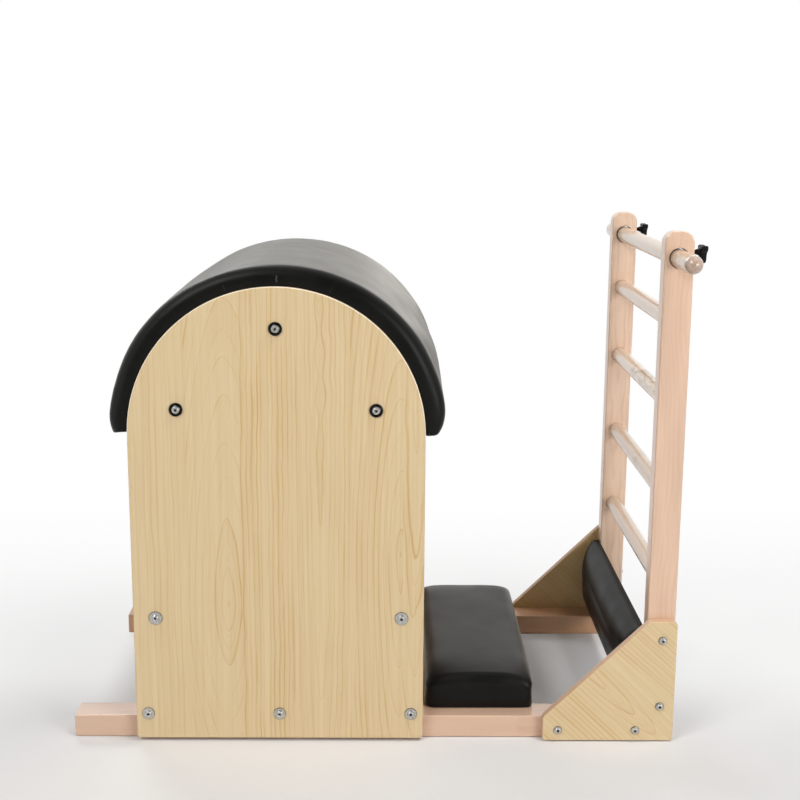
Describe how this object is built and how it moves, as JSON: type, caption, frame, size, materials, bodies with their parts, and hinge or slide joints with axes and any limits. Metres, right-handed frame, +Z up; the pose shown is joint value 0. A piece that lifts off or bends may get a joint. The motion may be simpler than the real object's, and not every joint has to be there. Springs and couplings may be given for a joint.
{
  "type": "pilates ladder barrel",
  "caption": "Padded half barrel on two wooden base rails, with a seat pad, a kick pad and an upright wooden ladder whose top bar slides and is clamped by hand screws.",
  "frame": {"origin": "middle of the footprint, on the floor", "axes": "+Z up, +X from the barrel towards the ladder, +Y from the near side to the far side"},
  "size_m": [1.204, 0.866, 1],
  "materials": {
    "laminate": "pale maple laminate on board, satin",
    "beech": "pinkish beech, clear satin lacquer",
    "dowel": "pale turned wood, gloss varnish",
    "plywood": "plain plywood, matt",
    "vinyl": "black upholstery vinyl over foam, satin",
    "steel": "bright zinc plate",
    "cup_bolt": "black cup washer under a bright domed head",
    "black_plastic": "moulded, satin black",
    "nylon": "off-white, matt"
  },
  "bodies": {
    "base": {"far_base_rail": "beech", "far_gusset": "laminate", "far_gusset_bolt_front": "steel", "far_gusset_bolt_high": "steel", "far_gusset_bolt_low": "steel", "far_gusset_bolt_rear": "steel", "far_kick_board_bolt": "steel", "far_seat_bolt": "steel", "far_thread_insert": "steel", "far_upright": "beech", "kick_board": "plywood", "kick_pad": "vinyl", "near_base_rail": "beech", "near_gusset": "laminate", "near_gusset_bolt_front": "steel", "near_gusset_bolt_high": "steel", "near_gusset_bolt_low": "steel", "near_gusset_bolt_rear": "steel", "near_kick_board_bolt": "steel", "near_seat_bolt": "steel", "near_thread_insert": "steel", "near_upright": "beech", "rung_1": "dowel", "rung_2": "dowel", "rung_3": "dowel", "rung_4": "dowel", "seat_board": "plywood", "seat_pad": "vinyl"},
    "barrel": {"barrel_deck": "plywood", "barrel_pad": "vinyl", "far_crossbar_bolt_front": "steel", "far_crossbar_bolt_rear": "steel", "far_dome_bolt_front": "cup_bolt", "far_dome_bolt_rear": "cup_bolt", "far_dome_bolt_top": "cup_bolt", "far_rib": "laminate", "far_runner": "beech", "far_runner_bolt_front": "steel", "far_runner_bolt_middle": "steel", "far_runner_bolt_rear": "steel", "far_side_panel": "laminate", "front_crossbar": "beech", "near_crossbar_bolt_front": "steel", "near_crossbar_bolt_rear": "steel", "near_dome_bolt_front": "cup_bolt", "near_dome_bolt_rear": "cup_bolt", "near_dome_bolt_top": "cup_bolt", "near_rib": "laminate", "near_runner": "beech", "near_runner_bolt_front": "steel", "near_runner_bolt_middle": "steel", "near_runner_bolt_rear": "steel", "near_side_panel": "laminate", "rear_crossbar": "beech"},
    "top_bar": {"top_bar": "dowel"},
    "near_clamp_tip": {"near_pressure_pad": "nylon"},
    "near_clamp_knob": {"near_knob": "black_plastic"},
    "far_clamp_tip": {"far_pressure_pad": "nylon"},
    "far_clamp_knob": {"far_knob": "black_plastic"}
  },
  "joints": [
    {"name": "barrel_slide", "type": "slide", "parent": "base", "child": "barrel", "axis": [1, 0, 0], "range_m": [-0.1, 0]},
    {"name": "bar_slide", "type": "slide", "parent": "base", "child": "top_bar", "axis": [0, 1, 0], "range_m": [-0.06, 0.06]},
    {"name": "near_tip_slide", "type": "slide", "parent": "base", "child": "near_clamp_tip", "axis": [1, 0, 0], "range_m": [0, 0.00301]},
    {"name": "near_knob_turn", "type": "hinge", "parent": "near_clamp_tip", "child": "near_clamp_knob", "pos_m": [0.594, -0.285, 0.9615], "axis": [1, 0, 0], "range_deg": [0, 1080]},
    {"name": "far_tip_slide", "type": "slide", "parent": "base", "child": "far_clamp_tip", "axis": [1, 0, 0], "range_m": [0, 0.00301]},
    {"name": "far_knob_turn", "type": "hinge", "parent": "far_clamp_tip", "child": "far_clamp_knob", "pos_m": [0.594, 0.285, 0.9615], "axis": [1, 0, 0], "range_deg": [0, 1080]}
  ],
  "couplings": [
    {"joint": "near_tip_slide", "follows": "near_knob_turn", "m_per_rad": 0.00015915},
    {"joint": "far_tip_slide", "follows": "far_knob_turn", "m_per_rad": 0.00015915}
  ]
}
